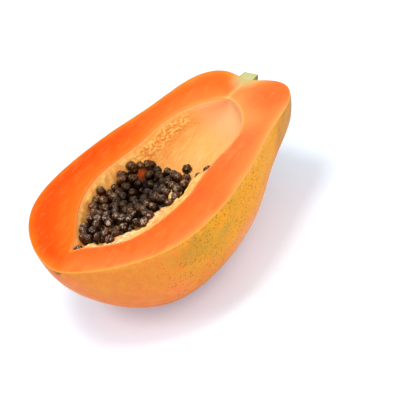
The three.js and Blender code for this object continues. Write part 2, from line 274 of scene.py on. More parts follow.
class Wire:
    """A value in a finish's node tree, for writing its maths as plain expressions."""

    def __init__(self, finish, socket):
        self.finish = finish
        self.socket = socket

    def maths(self, operation, first, second):
        return self.finish.node("ShaderNodeMath", {"operation": operation}, {0: first, 1: second})

    def __add__(self, other):
        return self.maths("ADD", self, other)

    def __sub__(self, other):
        return self.maths("SUBTRACT", self, other)

    def __rsub__(self, other):
        return self.maths("SUBTRACT", other, self)

    def __mul__(self, other):
        return self.maths("MULTIPLY", self, other)

    def __truediv__(self, other):
        return self.maths("DIVIDE", self, other)

    def __abs__(self):
        return self.maths("ABSOLUTE", self, 0)

    __radd__ = __add__
    __rmul__ = __mul__


def paint(code):
    """A screen colour such as f7823a, as the linear colour that a shader works in."""
    shares = [int(code[i:i + 2], 16) / 255 for i in (0, 2, 4)]
    return tuple(s / 12.92 if s <= 0.04045 else ((s + 0.055) / 1.055) ** 2.4 for s in shares) + (1.0,)


class Finish:
    """One piece's surface: a Principled shader and the nodes that feed it."""

    def __init__(self, name, constants):
        self.material = bpy.data.materials.new(name)
        self.material.use_nodes = True
        self.tree = self.material.node_tree
        self.shader = self.tree.nodes["Principled BSDF"]
        self.colour = None
        for key, value in constants.items():
            self.shader.inputs[key].default_value = value
        metres = self.node("ShaderNodeTexCoord", {}, {}, "Object")
        self.place = self.node("ShaderNodeVectorMath", {"operation": "SCALE"}, {0: metres, "Scale": 1000.0})
        self.x, self.y, self.z = (
            self.node("ShaderNodeSeparateXYZ", {}, {0: self.place}, axis) for axis in "XYZ")
        self.x = self.x - TO_FRAME[0]
        self.z = self.z - TO_FRAME[2]

    def node(self, kind, settings, sockets, output=0):
        """Adds a node, with its settings, then its sockets' values or links, and gives one output."""
        node = self.tree.nodes.new(kind)
        for key, value in settings.items():
            if key == "stops":
                self.set_stops(node.color_ramp, value)
            else:
                setattr(node, key, value)
        for key, value in sockets.items():
            socket = node.inputs[key] if isinstance(key, int) else self.named(node.inputs, key)
            if isinstance(value, Wire):
                self.tree.links.new(value.socket, socket)
            else:
                socket.default_value = value
        socket = node.outputs[output] if isinstance(output, int) else self.named(node.outputs, output)
        return Wire(self, socket)

    @staticmethod
    def named(sockets, identifier):
        return next(socket for socket in sockets if socket.identifier == identifier)

    @staticmethod
    def set_stops(ramp, stops):
        while len(ramp.elements) < len(stops):
            ramp.elements.new(1)
        for element, (place, code) in zip(ramp.elements, stops):
            element.position = place
            element.color = paint(code)

    def mix(self, share, first, second):
        colours = [c if isinstance(c, Wire) else paint(c) for c in (first, second)]
        return self.node(
            "ShaderNodeMix", {"data_type": "RGBA"},
            {"Factor_Float": share, "A_Color": colours[0], "B_Color": colours[1]}, "Result_Color")

    def glaze(self, share, colour):
        """Lays a colour over the surface's colour so far."""
        self.colour = self.mix(share, self.colour, colour)

    def ramp(self, value, *stops):
        return self.node("ShaderNodeValToRGB", {"stops": stops}, {"Fac": value}, "Color")

    def step(self, value, low, high):
        """0 below low and 1 above high, with a soft change between; the other way round if low is more."""
        flip = low > high
        low, high = sorted((low, high))
        soft = self.node(
            "ShaderNodeMapRange", {"interpolation_type": "SMOOTHSTEP"},
            {"Value": value, "From Min": low, "From Max": high}, "Result")
        return 1 - soft if flip else soft

    def band(self, value, start, full, fall, end):
        """1 from full to fall, with a soft change from 0 at start and back to 0 at end."""
        return self.step(value, start, full) * self.step(value, end, fall)

    def attribute(self, name):
        return self.node("ShaderNodeAttribute", {"attribute_name": name}, {}, "Fac")

    def noise(self, size, detail, stretch=(1, 1, 1), where=None, distortion=0.0):
        """Soft noise from 0 to 1 with patches of about that size in millimetres, longer along a stretch."""
        where = where or self.place
        sizes = tuple(size * s for s in stretch)
        scaled = self.node("ShaderNodeVectorMath", {"operation": "DIVIDE"}, {0: where, 1: sizes})
        return self.node(
            "ShaderNodeTexNoise", {},
            {"Vector": scaled, "Scale": 1.0, "Detail": detail, "Distortion": distortion}, "Fac")

    def cells(self, where, scale):
        """Distance to the nearest of many scattered points."""
        return self.node(
            "ShaderNodeTexVoronoi", {"feature": "F1"}, {"Vector": where, "Scale": scale}, "Distance")

    def plane(self, *values):
        keys = ("X", "Y", "Z")[:len(values)]
        return self.node("ShaderNodeCombineXYZ", {}, dict(zip(keys, values)), "Vector")

    def away_from(self, point, *values):
        """Distance from a point to the place with these coordinates."""
        return self.node(
            "ShaderNodeVectorMath", {"operation": "DISTANCE"}, {0: self.plane(*values), 1: point}, "Value")

    def feed(self, socket, value):
        self.tree.links.new(value.socket, self.shader.inputs[socket])

    def bump(self, height, distance, strength):
        """Tilts the normal by a height from 0 to 1 that stands for a distance in millimetres."""
        normal = self.node(
            "ShaderNodeBump", {},
            {"Height": height, "Distance": distance / 1000, "Strength": strength}, "Normal")
        self.feed("Normal", normal)


# Skin: yellow-orange where ripe, with grey-green clouds below the cut at the blossom end, an olive neck,
# and fine dark specks. A thin natural wax gives it a satin sheen.
SCAR, SPECKS_AT = (0.0, 0.0, 0.0), 84
skin = Finish("papaya_skin", {"Specular IOR Level": 0.07})
round_ = skin.attribute("round")
below_edge = 180 - round_
patch = skin.noise(16, 3)
skin.colour = skin.mix(skin.step(below_edge + patch * 26, 26, 66), "ec9810", "e07828")
skin.glaze(skin.step(skin.x + patch * 20, 74, 36) * 0.85, "e07c36")
skin.glaze(skin.step(below_edge + patch * 12, 44, 74) * 0.6, "de6a12")
skin.glaze(skin.step(skin.x, 60, 20) * skin.step(below_edge, 7, 1) * 0.4, "f09a3c")
skin.glaze(skin.step(below_edge + patch * 6, 8, 3) * skin.step(skin.x, 30, 60) * 0.6, "f2ac30")
skin.glaze(skin.step(skin.x + patch * 20, 144, 170) * 0.75, "bc7426")
mottle = skin.noise(5, 3)
green = skin.step(skin.noise(13, 4, (1.3, 1, 1)) + (mottle - 0.5) * 0.5, 0.3, 0.66)
green = green * skin.step(below_edge, 40, 12) * skin.band(skin.x, 20, 46, 68, 110)
skin.glaze(green * (0.2 + mottle * 0.5), "987c34")
salmon = skin.step(skin.noise(14, 3, (1.6, 1, 1)), 0.48, 0.66) * skin.step(below_edge, 18, 30)
skin.glaze(salmon * skin.step(skin.x, 130, 100) * 0.65, "ee7a40")
peach = skin.band(skin.x, 70, 96, 130, 150) * skin.step(below_edge, 22, 38)
skin.glaze(peach * (0.2 + patch * 0.6), "f6a47a")
olive = skin.step(skin.noise(9, 2), 0.42, 0.62) * skin.step(skin.x, 138, 154) * skin.step(below_edge, 30, 8)
skin.glaze(olive * 0.7, "8a6a26")
far_green = skin.step(skin.noise(21, 2), 0.45, 0.7) * skin.step(round_, 95, 50) * skin.step(skin.x, 70, 120)
skin.glaze(far_green * 0.6, "8f9a36")
skin.glaze(skin.step(mottle, 0.35, 0.75) * 0.2, "f2b030")
skin.glaze(skin.step(skin.noise(1.6, 3), 0.5, 0.72) * skin.step(skin.x, 20, 60) * 0.28, "b87c28")
pores = skin.cells(skin.place, 0.85)
crowded = skin.step(skin.noise(9, 2), 0.32, 0.56) * skin.step(abs(skin.x - SPECKS_AT), 66, 40)
specks = skin.step(pores - crowded * 0.2, 0.17, 0.06) * skin.step(skin.noise(2.2, 3), 0.47, 0.56)
skin.glaze(specks * 0.85, "5a2a06")
peel = skin.step(skin.noise(1.0, 3, (1.6, 1, 1)), 0.5, 0.66) * skin.step(below_edge, 60, 20)
skin.glaze(peel * 0.15, "8c5a20")
from_scar = skin.away_from(SCAR, skin.x, skin.y, skin.z)
skin.glaze(skin.step(from_scar + mottle * 3, 6, 3) * 0.8, "4e3218")
skin.glaze(skin.step(skin.attribute("below"), 1.4, 0.3) * 0.4, "f4a848")
skin.feed("Base Color", skin.colour)
skin.feed("Roughness", 0.36 + skin.noise(4, 2) * 0.16)
skin.bump(skin.noise(2.2, 3) * 0.7 + specks * -0.3, 0.12, 0.5)

# Flesh on the knife's face: deepest midway to the skin and towards the blossom end, paler by the hollow's
# rim, under the skin and towards the stalk, and redder on the far side of the hollow than on the near one.
RED_LOBE, STALK_SOCKET, SEAM_SIDE = (172.0, -28.0, 0.0), (180.0, 2.0, 0.0), 1.2
flesh = Finish("papaya_flesh", {"Specular IOR Level": 0.03})
from_rim, from_skin = flesh.attribute("from_rim"), flesh.attribute("from_skin")
uneven = flesh.noise(22, 3)
way = from_rim / (from_rim + from_skin) + (uneven - 0.5) * 0.2 + (flesh.noise(6, 2) - 0.5) * 0.08
along_fruit = flesh.x + (uneven - 0.5) * 18
far_deep = flesh.ramp(way, (0, "f7701c"), (0.2, "f96410"), (0.65, "ef4903"), (0.83, "f04e05"), (1, "eb7016"))
far_pale = flesh.ramp(way, (0, "f79443"), (0.2, "f77c32"), (0.65, "f4681e"), (0.83, "f46e21"), (1, "f78d2d"))
far_side = flesh.mix(flesh.step(along_fruit, 96, 156), far_deep, far_pale)
near_deep = flesh.ramp(way, (0, "f26a27"), (0.15, "f76223"), (0.5, "f96e2b"), (0.83, "fa7939"), (1, "fb9a4a"))
near_pale = flesh.ramp(way, (0, "f8984d"), (0.2, "fb904c"), (0.65, "fa8240"), (0.83, "fb8944"), (1, "fba459"))
near_side = flesh.mix(flesh.step(along_fruit, 84, 146), near_deep, near_pale)
flesh.colour = flesh.mix(flesh.step(flesh.y, -6, 6), near_side, far_side)
flesh.glaze(flesh.step(flesh.x + uneven * 8, 18, 8) * 0.5, "fb7c26")
lobe = flesh.away_from(RED_LOBE, flesh.x, flesh.y)
flesh.glaze(flesh.step(lobe + (uneven - 0.5) * 12, 25, 6) * 0.85, "f4692c")
off_seam = abs(flesh.y - SEAM_SIDE + (uneven - 0.5) * 3)
seam = flesh.step(off_seam, 4.5, 0.5) * 0.35 + flesh.step(off_seam, 1.1, 0.3) * 0.45
flesh.glaze(seam * flesh.step(flesh.x, 156, 160), "fcba70")
at_stalk = flesh.away_from(STALK_SOCKET, flesh.x, flesh.y)
flesh.glaze(flesh.step(at_stalk + uneven * 5, 18, 6) * 0.9, "c8c07c")
streak = flesh.noise(1.4, 3, (9, 1, 1)) * flesh.step(flesh.x, 24, 12) * flesh.step(abs(flesh.y - 1), 9, 2)
flesh.glaze(flesh.step(streak, 0.45, 0.65) * 0.35, "ee5808")
grain = flesh.noise(1.1, 4)
flesh.glaze(flesh.step(grain, 0.35, 0.75) * 0.1, "ff9834")
blotches = flesh.step(flesh.noise(9, 3, (1.8, 1, 1), distortion=0.5), 0.5, 0.66) * flesh.step(flesh.y, 2, -6)
flesh.glaze(blotches * flesh.step(flesh.x, 100, 60) * 0.4, "f9601e")
rosy = flesh.step(flesh.noise(8, 4, (2.2, 1, 1), distortion=0.6), 0.42, 0.6) * flesh.step(flesh.y, -8, -18)
rosy = rosy * flesh.band(flesh.x, 60, 96, 128, 150)
flesh.glaze(rosy * flesh.step(from_rim, 20, 8) * 0.6, "ee6230")
veins = flesh.step(flesh.noise(3.5, 4, (2.6, 1, 1), distortion=0.8), 0.5, 0.68)
flesh.glaze(veins * 0.12, "ffa452")
rim_share = 0.6 - flesh.step(flesh.y, 0, 8) * 0.5
flesh.glaze(flesh.step(from_rim + (grain - 0.5) * 4, 2.0, 0.2) * rim_share, "febe74")
flesh.glaze(flesh.step(from_skin, 0.9, 0.2) * 0.6, "f4a648")
flesh.feed("Base Color", flesh.colour)
flesh.feed("Roughness", 0.42 + grain * 0.16)
flesh.bump(grain * 0.6 + flesh.noise(5, 2) * 0.4, 0.1, 0.5)

# Lining: pale and stringy, with frills of pulp down the far wall, crumbs along its rim, and freckles.
# Painted shade lies between the crumbs, and painted light on the parts of the hollow's walls in shade.
lining = Finish("papaya_lining", {"Specular IOR Level": 0.12})
arc, along, lump = (lining.attribute(name) for name in ("round", "along", "lump"))
cloth = lining.plane(along, arc * 0.5)
fog = lining.noise(11, 3, where=cloth)
lining.colour = lining.ramp(
    arc / 180 + (fog - 0.5) * 0.2,
    (0, "fba24a"), (0.18, "fcb058"), (0.4, "fdbc70"), (0.7, "fcbe70"), (1, "fdb266"))
lining.glaze(lining.step(along, 140, 153) * 0.9, "fcae74")
wisps = lining.noise(2.2, 4, (5, 1, 1), where=cloth, distortion=0.6)
inland = lining.step(along, 150, 132)
lining.glaze(lining.step(wisps, 0.52, 0.68) * 0.3 * inland, "f59a54")
smear = lining.noise(6, 3, (3, 1, 1), where=cloth, distortion=0.8)
smear = lining.step(smear, 0.5, 0.62) * lining.step(along, 108, 118) * lining.band(arc, 40, 52, 80, 92)
lining.glaze(smear * inland * 0.5, "fbb04c")
strings = lining.noise(1.1, 4, (6, 1, 1), where=cloth, distortion=0.5) + (fog - 0.5) * 0.3
strings = lining.step(strings, 0.54, 0.66) * lining.step(along, 100, 114) * inland
lining.glaze(strings * 0.45, "fed68a")
spots = lining.step(lining.noise(2.5, 4), 0.54, 0.66) * (1 - inland)
lining.glaze(spots * 0.35, "f8a866")
pulpy = lining.step(along, 112, 96)
threads = lining.noise(1.4, 5, (1, 2.6, 1), where=cloth, distortion=1.2)
valley = lining.mix(pulpy, lining.colour, "ff983a")
ridge = lining.mix(lining.step(threads, 0.35, 0.65), "ffb04e", "ffca70")
frayed = pulpy + lining.step(lump, 0.02, 0.2) * (1 - pulpy)
lining.colour = lining.mix(lining.step(lump + (threads - 0.5) * 1.3, 0.0, 0.7) * frayed, valley, ridge)
blush = lining.step(lining.noise(1.8, 3, (1, 4, 1), where=cloth), 0.5, 0.68)
lining.glaze(blush * pulpy * lining.step(arc, 60, 30) * 0.45, "f07820")
shade_and_freckle_hollows = lining.step(lump, 0.5, 0.1) * lining.band(along, *CRUMBS_ALONG) * lining.band(arc, 5, 9, 20, 32)
# Painted shade in the hollows between the crumbs.
lining.glaze(shade_and_freckle_hollows * lining.step(threads, 0.36, 0.58) * 0.8, "e88a3a")
lining.glaze(shade_and_freckle_hollows * lining.step(lining.noise(0.8, 3), 0.52, 0.64) * 0.7, "b8682a")
# Painted light: the near wall at the stalk's end of the hollow, which faces away from the lamps, is paler.
lining.glaze(lining.step(along, 142, 154) * lining.step(arc, 40, 90) * 0.55, "ffcc90")
rows_of = lining.band(along, 108, 120, 143, 152) * lining.band(arc, 18, 24, 34, 46)
fleck = lining.step(lining.noise(5, 2, (2, 1, 1), where=cloth), 0.34, 0.52) * rows_of
sparse = lining.step(lining.noise(8, 2, where=cloth), 0.5, 0.6) * lining.step(along, 98, 112) * 0.5
sparse = sparse * lining.band(arc, 24, 40, 70, 96)
freckles = lining.step(lining.cells(cloth, 0.8), 0.3, 0.12) * (fleck + sparse)
lining.glaze(fleck * 0.35, "ee9a48")
lining.glaze(freckles * 0.8, "a85c22")
# Painted light: the strip of far wall beside the seeds, which they shade, is paler.
painted_light_strip = lining.step(arc, 64, 34) * lining.step(along, 112, 96)
lining.glaze(painted_light_strip * 0.35, "ffc070")
# Paler along the rim; the extra paleness on the far side, whose wall is in shade, is painted light.
pale_rim_and_painted_light = lining.step(lining.attribute("below") + threads * 3, 4, 1.6)
lining.glaze(pale_rim_and_painted_light * (0.5 + lining.step(arc, 90, 60) * 0.35), "ffcc80")
lining.feed("Base Color", lining.colour)
lining.feed("Roughness", 0.38 + fog * 0.2)
lining.bump(threads * pulpy * 0.8 + wisps * inland * 0.4 + lining.noise(1.0, 3) * 0.3, 0.4, 0.7)

fruit_mesh = sheets_to_mesh(
    "fruit_body", [(skin_points, 0, skin_values), *cut_sheets, (lining_points, 2, lining_values)])
add_piece(fruit_mesh, "fruit_body", "fruit", "flesh", skin.material, flesh.material, lining.material)

# --- Stub of the stalk --------------------------------------------------------------------------------
# The fruit hung on this stalk. The same cut halved it, so its top shows pale green fibre and its round
# side dull green-brown bark; its root is grown into the flesh.

STALK_RADIUS, STALK_TIP, STALK_SIDE = 5.7, 183.6, 2
STALK_FOOT, STALK_COLLAR, COLLAR_ENDS, COLLAR_FULL = 173.5, 6.6, 180.6, 178.2
STUB = [  # station, and how much thinner the stub is there than its plain outline
    (STALK_FOOT, 1.8), (175, 0.9), (176.5, 0.3), (178, 0), (179, 0), (180, 0), (181, 0), (182, 0),
    (182.8, 0.02), (183.25, 0.12), (183.5, 0.3), (STALK_TIP, 0.6), (STALK_TIP, STALK_RADIUS),
]
BARK_RIDGES, BARK_RIDGE_DEPTH, BARK_WAVES = 9, 0.03, 4
FIBRE_BELOW, FIBRE_SINKS, FIBRE_SUNK, FIBRE_DROP = 0.02, 177.6, 175.6, 1.1
STALK_AROUND, STALK_ACROSS = 60, 24
stations, thinner = np.array(STUB).T
flare = STALK_RADIUS + (STALK_COLLAR - STALK_RADIUS) * smoothstep(stations, COLLAR_ENDS, COLLAR_FULL)
turn = -math.pi * np.linspace(0, 1, STALK_AROUND + 1)[None]
ripple = 0.5 + 0.5 * np.sin(BARK_RIDGES * turn + 0.5 * np.sin(BARK_WAVES * turn))
bark_r = (flare - thinner)[:, None] * (1 - BARK_RIDGE_DEPTH * ripple)
fibre_drop = -FIBRE_BELOW - smoothstep(stations, FIBRE_SINKS, FIBRE_SUNK)[:, None] * FIBRE_DROP
bark_y, bark_z = STALK_SIDE + bark_r * np.cos(turn), bark_r * np.sin(turn) + fibre_drop
bark_points = points_at(stations[:, None], bark_y, bark_z)
width = np.linspace(-1, 1, STALK_ACROSS + 1)[None]
face_y = STALK_SIDE + np.where(width > 0, bark_r[:, :1], bark_r[:, -1:]) * width
face_points = points_at(stations[:, None], face_y, fibre_drop)
foot_edge = bark_points[0].copy()
foot_edge[:, 2] = fibre_drop[0, 0]
foot_points = np.stack([bark_points[0], foot_edge])

bark = Finish("stalk_bark", {"Roughness": 0.75, "Specular IOR Level": 0.2})
ridges = bark.noise(1.2, 3, (6, 1, 1))
bark.colour = bark.mix(bark.step(ridges, 0.35, 0.65), "8f8348", "b79f62")
bark.glaze(bark.step(bark.noise(3, 2), 0.5, 0.62) * 0.6, "6e5a34")
bark.feed("Base Color", bark.colour)
bark.bump(ridges, 0.4, 0.8)

fibre = Finish("stalk_fibre", {"Roughness": 0.7, "Specular IOR Level": 0.2})
threads = fibre.noise(0.7, 3, (12, 1, 1))
fibre.colour = fibre.mix(fibre.step(threads, 0.3, 0.7), "b8b774", "d2d096")
fibre.glaze(fibre.step(abs(fibre.y - STALK_SIDE), 4.6, 5.5) * 0.7, "9c9a54")
fibre.feed("Base Color", fibre.colour)
fibre.bump(threads, 0.25, 0.7)

stalk_mesh = sheets_to_mesh(
    "stalk_stub", [(bark_points, 0, {}), (face_points, 1, {}), (foot_points, 0, {})])
add_piece(stalk_mesh, "stalk_stub", "stalk", "stalk", bark.material, fibre.material)

# --- Heap of seeds ------------------------------------------------------------------------------------
# Round black-brown seeds, 5.6 to 7 mm long, each in a thin wet coat that dries in wrinkles. They lie where
# they grew, packed in a dished heap over the blossom end of the hollow, and deeper ones fill the gaps.

SEED_LENGTH, SEED_WIDTH = 6.5, 5.7
SEED_SMALLEST, SEED_LARGEST, SEED_PITCH = 0.86, 1.08, 4.75
HEAP_FROM, HEAP_TO = 21, 101
BULGE_AT, BULGE_REACH, BULGE_CUT = 14, 29, 9  # of the edge towards the stalk
FAR_INSET, NEAR_INSET = 4, 9.5
FAR_BAYS = [(52, 5, 5), (79.5, 7, 4.5)]  # where the heap draws back from the far rim: station, depth, reach
NEAR_BAYS = [(41, 8, 7), (64.5, 7, 4), (91, 6, 6)]
BARE_SPOTS = [(91, 18, 4.6), (60, 18, 3.6), (47, -4, 3.4)]  # where no seed grew: place and radius
WET_GAP = (94, 23, 3.9)
PULP_GAPS = [  # where seeds came away and the pulp shows: place and radius
    (27.5, 0.5, 4.2), (29.5, -4.5, 3.4), (40, -13.5, 3.6), (46.5, -17.5, 3), (50, -21.5, 3.4),
    (65.5, -21.5, 3.4), (57.5, 19, 3.2), (44, 0, 2.4), WET_GAP,
]
SLOPE_THINS, SLOPE_SHARE = -3.5, 0.5  # from the heap's edge, and the share of seeds missing beyond it
EDGE_DEPTH, MIDDLE_DEPTH = 3.2, 13.5
DISH, DISH_SPREAD = (82, 7), (21, 15)
FAR_DROP, FAR_DROP_STARTS, FAR_DROP_FULL = 2.6, 12, 30
SIDE_SLOPE, SIDE_REACH, JITTER = 3, 8, 0.9
NEAR_INSET_MOST, FAR_INSET_MOST = 0.55, 0.35  # as shares of the hollow's width
HEAP_CEILING = 0.05  # what the highest seeds reach above the knife's plane
LOWER_LAYER, LOWER_PITCH = 3.4, 4.4
REACH_ACROSS = 36.2
RANDOM_START, TOP_THROWS, LOW_THROWS = 4711, 12000, 6000


def random_numbers(seed):
    """The Park-Miller generator, so that the heap is the same each time."""
    state, factor, modulus = seed, 16807, 2**31 - 1
    while True:
        state = state * factor % modulus
        yield state / modulus


def hollow_at(x):
    """Far rim, near rim and depth of the hollow at a station."""
    return tuple(float(np.interp(x, hollow_line[:, 0], hollow_line[:, i])) for i in (1, 2, 3))


def lining_height(x, y):
    far, near, depth = hollow_at(x)
    across = (2 * y - far - near) / (far - near)
    return -depth * math.sqrt(max(0.0, 1 - across * across)) * float(shelf_share(x, y - near))


def heap_edge(y):
    return HEAP_TO - ((y - BULGE_AT) / BULGE_REACH) ** 2 * BULGE_CUT


def bays_at(x, bays):
    return sum(more * math.exp(-(((x - at) / reach) ** 2)) for at, more, reach in bays)


def heap_band(x):
    """The two edges of the heap at a station."""
    far, near, _ = hollow_at(x)
    width = far - near
    near_inset = NEAR_INSET + bays_at(x, NEAR_BAYS)
    far_inset = FAR_INSET + bays_at(x, FAR_BAYS)
    return near + min(near_inset, NEAR_INSET_MOST * width), far - min(far_inset, FAR_INSET_MOST * width)


def heap_height(x, y):
    dip = math.exp(-(((x - DISH[0]) / DISH_SPREAD[0]) ** 2) - ((y - DISH[1]) / DISH_SPREAD[1]) ** 2)
    far_drop = FAR_DROP * float(smoothstep(y, FAR_DROP_STARTS, FAR_DROP_FULL))
    top = -(EDGE_DEPTH + (MIDDLE_DEPTH - EDGE_DEPTH) * dip) - far_drop
    return top - SIDE_SLOPE * max(0.0, x - heap_edge(y))


def seed_places(random, drop, pitch, throws):
    """Middles of one layer of seeds: a throw stays where it is in the heap and a pitch from all others."""
    places = np.empty((0, 3))
    for _ in range(throws):
        x = HEAP_FROM + (HEAP_TO + SIDE_REACH - HEAP_FROM) * next(random)
        y = REACH_ACROSS * (2 * next(random) - 1)
        low, high = heap_band(x)
        if y < low or y > high or x > heap_edge(y) + SIDE_REACH:
            continue
        if any(math.hypot(x - bx, y - by) < radius for bx, by, radius in BARE_SPOTS):
            continue
        z = max(heap_height(x, y) - drop, lining_height(x, y) + SEED_WIDTH / 2)
        if len(places) and np.linalg.norm(places - (x, y, z), axis=1).min() < pitch:
            continue
        places = np.vstack([places, (x, y, z)])
    return places


def seed_draws(random, places):
    """Middle, size, turn and tint of each seed."""
    rows = []
    for x, y, z in places:
        z += JITTER * (next(random) - 0.5)
        size = SEED_SMALLEST + (SEED_LARGEST - SEED_SMALLEST) * next(random)
        z = min(z, HEAP_CEILING - SEED_LENGTH / 2 * size)
        rows.append((x, y, z, size, *(math.pi * next(random) for _ in range(3)), next(random)))
    return rows


def stays(row):
    """Whether a seed was left in its place: some came away with the knife, and the slope is thinner."""
    x, y, tint = row[0], row[1], row[7]
    if x > heap_edge(y) + SLOPE_THINS and tint < SLOPE_SHARE:
        return False
    return not any(math.hypot(x - gap_x, y - gap_y) < radius for gap_x, gap_y, radius in PULP_GAPS)


random = random_numbers(RANDOM_START)
top_layer = seed_draws(random, seed_places(random, 0, SEED_PITCH, TOP_THROWS))
low_layer = seed_draws(random, seed_places(random, LOWER_LAYER, LOWER_PITCH, LOW_THROWS))
top_layer = [row for row in top_layer if stays(row)]
# The deeper seeds get a tint of -1, which marks them for painted shade in their coat.
low_layer = [(*row[:7], -1) for row in low_layer if stays(row)]


def seed_points(name, rows):
    """A mesh of loose points with a size, a turn and a tint for each seed."""
    rows = np.array(rows, float)
    mesh = bpy.data.meshes.new(name)
    mesh.from_pydata(in_frame(rows[:, :3]).tolist(), [], [])
    columns = {"size": rows[:, 3], "turn": rows[:, 4:7], "tint": rows[:, 7]}
    for label, column in columns.items():
        kind, field = ("FLOAT", "value") if column.ndim == 1 else ("FLOAT_VECTOR", "vector")
        layer = mesh.attributes.new(label, kind, "POINT")
        layer.data.foreach_set(field, column.astype(np.float32).ravel())
    return mesh


class Maker:
    """A Geometry Nodes tree that is written line by line, with named inputs."""

    def __init__(self, name, inputs):
        self.tree = bpy.data.node_groups.new(name, "GeometryNodeTree")
        for side in ("INPUT", "OUTPUT"):
            self.tree.interface.new_socket("Geometry", in_out=side, socket_type="NodeSocketGeometry")
        self.keys = {}
        for label, kind in inputs.items():
            socket = self.tree.interface.new_socket(label, in_out="INPUT", socket_type="NodeSocket" + kind)
            self.keys[label] = socket.identifier
        self.given = self.tree.nodes.new("NodeGroupInput")
        self.result = self.tree.nodes.new("NodeGroupOutput")

    def value(self, label):
        return next(s for s in self.given.outputs if s.name == label)

    def node(self, kind, settings, sockets, output=0):
        node = self.tree.nodes.new(kind)
        for key, value in settings.items():
            setattr(node, key, value)
        for key, value in sockets.items():
            socket = node.inputs[key] if isinstance(key, int) else Finish.named(node.inputs, key)
            if isinstance(value, bpy.types.NodeSocket):
                self.tree.links.new(value, socket)
            else:
                socket.default_value = value
        return node.outputs[output] if isinstance(output, int) else Finish.named(node.outputs, output)

    def attribute(self, name, kind="FLOAT"):
        return self.node("GeometryNodeInputNamedAttribute", {"data_type": kind}, {"Name": name}, "Attribute")

    def run(self, mesh, name, values):
        """The tree's result on a mesh, as a plain mesh; values are given by label."""
        carrier = new_object(name, mesh)
        modifier = carrier.modifiers.new(name, "NODES")
        modifier.node_group = self.tree
        for label, value in values.items():
            modifier[self.keys[label]] = value
        graph = bpy.context.evaluated_depsgraph_get()
        made = carrier.evaluated_get(graph)
        plain = bpy.data.meshes.new_from_object(made, preserve_all_data_layers=True, depsgraph=graph)
        plain.name = name
        finish = [finish for finish in plain.materials if finish][0]
        plain.materials.clear()
        plain.materials.append(finish)
        plain.polygons.foreach_set("material_index", [0] * len(plain.polygons))
        carrier.modifiers.remove(modifier)
        bpy.data.objects.remove(carrier)
        return plain


WRINKLE_SIZE, WRINKLE_DEPTH, TOP_ROUNDNESS, LOW_ROUNDNESS = 1.9, 1.9, 3, 2
WRINKLE_LEVEL = 0.55  # of the noise; above it the coat stands out, below it is pressed in
# the side of a seed that faces the lamps, which gets the painted highlight
HIGHLIGHT_SIDE = (-0.25, -0.35, 0.9)
seed_maker = Maker("seed_maker", {
    "Seed Length": "Float", "Seed Width": "Float", "Wrinkle Size": "Float", "Wrinkle Depth": "Float",
    "Roundness": "Int", "Coat": "Material",
})
ball = seed_maker.node(
    "GeometryNodeMeshIcoSphere", {}, {"Radius": 0.5, "Subdivisions": seed_maker.value("Roundness")}, "Mesh")
shape = seed_maker.node(
    "ShaderNodeCombineXYZ", {},
    {"X": seed_maker.value("Seed Length"), "Y": seed_maker.value("Seed Width"),
     "Z": seed_maker.value("Seed Width")}, "Vector")
sized = seed_maker.node(
    "ShaderNodeVectorMath", {"operation": "SCALE"}, {0: shape, "Scale": seed_maker.attribute("size")})
turned = seed_maker.node(
    "FunctionNodeEulerToRotation", {}, {0: seed_maker.attribute("turn", "FLOAT_VECTOR")})
seeds = seed_maker.node(
    "GeometryNodeInstanceOnPoints", {},
    {"Points": seed_maker.value("Geometry"), "Instance": ball, "Rotation": turned, "Scale": sized})
seeds = seed_maker.node("GeometryNodeRealizeInstances", {}, {"Geometry": seeds})
spot = seed_maker.node("GeometryNodeInputPosition", {}, {})
spot = seed_maker.node(
    "ShaderNodeVectorMath", {"operation": "DIVIDE"}, {0: spot, 1: seed_maker.value("Wrinkle Size")})
wrinkle = seed_maker.node(
    "ShaderNodeTexNoise", {}, {"Vector": spot, "Scale": 1.0, "Detail": 1.5, "Distortion": 0.8}, "Fac")
push = seed_maker.node("ShaderNodeMath", {"operation": "SUBTRACT"}, {0: wrinkle, 1: WRINKLE_LEVEL})
push = seed_maker.node(
    "ShaderNodeMath", {"operation": "MULTIPLY"}, {0: push, 1: seed_maker.value("Wrinkle Depth")})
outward = seed_maker.node("GeometryNodeInputNormal", {}, {})
shift = seed_maker.node("ShaderNodeVectorMath", {"operation": "SCALE"}, {0: outward, "Scale": push})
seeds = seed_maker.node("GeometryNodeSetPosition", {}, {"Geometry": seeds, "Offset": shift})
# How far each point of a seed faces the lamps, kept as "up" for the painted highlight and shade of its coat.
facing = seed_maker.node(
    "ShaderNodeVectorMath", {"operation": "DOT_PRODUCT"}, {0: outward, 1: HIGHLIGHT_SIDE}, "Value")
seeds = seed_maker.node(
    "GeometryNodeStoreNamedAttribute", {"data_type": "FLOAT", "domain": "POINT"},
    {"Geometry": seeds, "Name": "up", "Value": facing})
seeds = seed_maker.node("GeometryNodeSetShadeSmooth", {}, {"Geometry": seeds})
seeds = seed_maker.node(
    "GeometryNodeSetMaterial", {}, {"Geometry": seeds, "Material": seed_maker.value("Coat")})
seed_maker.tree.links.new(seeds, seed_maker.result.inputs[0])

# The coat is darker on each seed's underside and in the dip of the heap, both painted shade, and less glossy
# in the dip. Its wrinkles are paler on the side turned up towards the lamps: a painted highlight.
DIP_NARROWER = 1.3
coat = Finish(
    "seed_coat", {"Specular IOR Level": 0.15, "Specular Tint": (1, 0.7, 0.4, 1), "Coat Roughness": 0.08})
tint = coat.attribute("tint")
wrinkles = coat.noise(2.0, 1.5, distortion=1.2)
pits = coat.noise(0.8, 2)
up = coat.attribute("up")
coat.colour = coat.mix(coat.step(tint, 0.1, 0.9), "200c02", "421c04")
coat.glaze(coat.step(coat.y, 8, 24) * 0.5, "5c2e0a")
crest_highlight_colour = coat.mix(coat.step(coat.x, 64, 44), "a4835a", "c4a88e")
